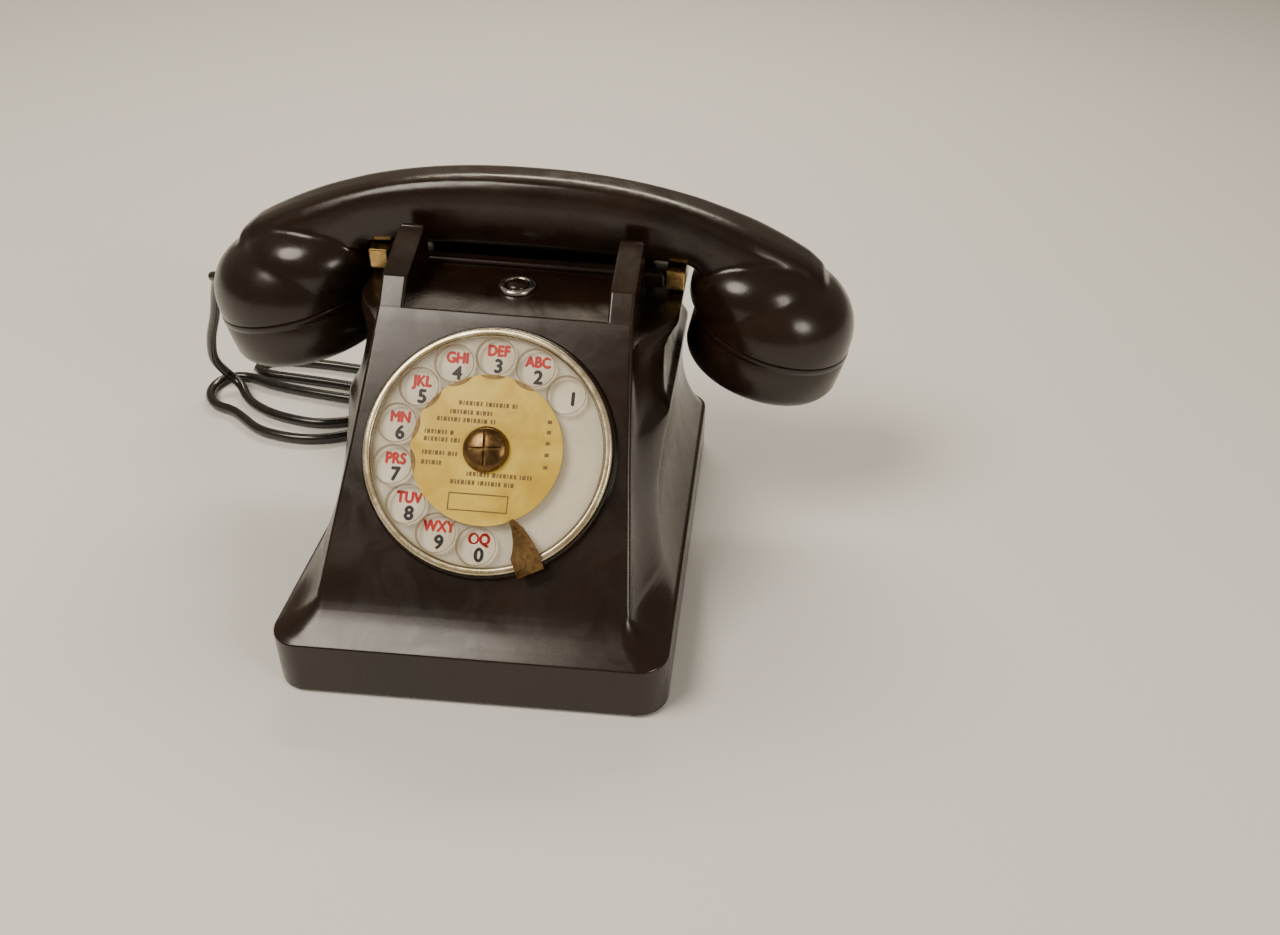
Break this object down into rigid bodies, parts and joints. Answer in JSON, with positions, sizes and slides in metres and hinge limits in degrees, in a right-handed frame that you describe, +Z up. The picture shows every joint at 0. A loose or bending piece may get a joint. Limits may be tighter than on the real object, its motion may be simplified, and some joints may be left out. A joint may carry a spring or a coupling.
{
  "type": "desk telephone",
  "caption": "Rotary-dial desk telephone: sloping moulded casing, geared dial with finger wheel and stop, handset across a sprung cradle, push button and loose cord.",
  "frame": {"origin": "middle of the footprint on the table, under the casing and handset", "axes": "+X along the handset towards the earpiece (right, seen from the dial), +Y to the back, +Z up"},
  "size_m": [0.2763, 0.1959, 0.1306],
  "materials": {
    "bakelite": "polished dark brown phenolic",
    "steel": "plain sheet and turned steel",
    "brass": "polished, slightly aged",
    "nickel": "bright plate",
    "rubber": "black rubber, semi-gloss on the cord",
    "enamel": "cream stoved enamel",
    "clear_wheel": "clear moulded plastic",
    "paper_card": "yellow card",
    "copper_winding": "enamelled copper wire under lacquer",
    "insulating_board": "laminated board"
  },
  "bodies": {
    "housing": {"casing": "bakelite", "base_plate": "steel", "base_screw_front_left": "steel", "base_screw_front_right": "steel", "base_screw_rear_left": "steel", "base_screw_rear_right": "steel", "foot_front_left": "rubber", "foot_front_right": "rubber", "foot_rear_left": "rubber", "foot_rear_right": "rubber", "dial_bezel": "brass", "number_plate": "enamel", "finger_stop": "brass", "dial_frame": "steel", "governor_cup": "brass", "pulse_contacts": "insulating_board", "button_bezel": "nickel", "button_contacts": "insulating_board", "hook_contacts": "insulating_board", "ringer_frame": "steel", "gong_left": "brass", "gong_right": "brass", "ringer_coil_left": "copper_winding", "ringer_coil_right": "copper_winding", "capacitor": "steel", "induction_coil": "copper_winding", "terminal_block": "insulating_board", "handset_cord_gland": "rubber", "line_cord_inlet": "rubber", "handset_cord": "rubber"},
    "dial": {"finger_wheel": "clear_wheel", "number_card": "paper_card", "hub_screw": "brass", "dial_shaft": "steel", "main_gear": "brass"},
    "pulse_train": {"pulse_pinion": "brass", "pulse_wheel": "brass", "pulse_shaft": "steel"},
    "governor": {"governor_pinion": "steel", "governor_shaft": "steel", "governor_weights": "brass"},
    "hook_switch": {"cradle_bar_front": "bakelite", "cradle_bar_rear": "bakelite", "cradle_end_left": "brass", "cradle_end_right": "brass", "hook_plunger_left": "steel", "hook_plunger_right": "steel"},
    "button": {"push_button": "bakelite"},
    "hammer": {"ringer_hammer": "steel"},
    "handset": {"handle": "bakelite", "mouth_cap": "bakelite", "ear_cap": "bakelite", "transmitter_capsule": "nickel", "receiver_capsule": "nickel", "cord_bush": "rubber"}
  },
  "joints": [
    {"name": "dial_turn", "type": "hinge", "parent": "housing", "child": "dial", "pos_m": [0, -0.0369, 0.0698], "axis": [0, -0.7314, 0.682], "range_deg": [-330, 0], "stiffness_Nm_per_rad": 0.004},
    {"name": "pulse_turn", "type": "hinge", "parent": "housing", "child": "pulse_train", "pos_m": [0, -0.05224, 0.05334], "axis": [0, -0.7314, 0.682], "range_deg": [-5, 1325]},
    {"name": "governor_turn", "type": "hinge", "parent": "housing", "child": "governor", "pos_m": [0.0125, -0.05224, 0.05334], "axis": [0, -0.7314, 0.682], "range_deg": [-5300, 20]},
    {"name": "button_press", "type": "slide", "parent": "housing", "child": "button", "axis": [0, 0, -1], "range_m": [0, 0.0025], "stiffness_N_per_m": 120},
    {"name": "hammer_swing", "type": "hinge", "parent": "housing", "child": "hammer", "pos_m": [0, -0.02, 0.023], "axis": [0, 0, 1], "range_deg": [-4, 4], "stiffness_Nm_per_rad": 0.01},
    {"name": "handset_lift", "type": "slide", "parent": "housing", "child": "handset", "axis": [0, 0, 1], "range_m": [0, 0.12]},
    {"name": "hook_rise", "type": "slide", "parent": "housing", "child": "hook_switch", "axis": [0, 0, 1], "range_m": [0, 0.005]}
  ],
  "couplings": [
    {"joint": "pulse_turn", "follows": "dial_turn", "ratio": -4},
    {"joint": "governor_turn", "follows": "dial_turn", "ratio": 16},
    {"joint": "hook_rise", "follows": "handset_lift", "ratio": 0.0416}
  ]
}
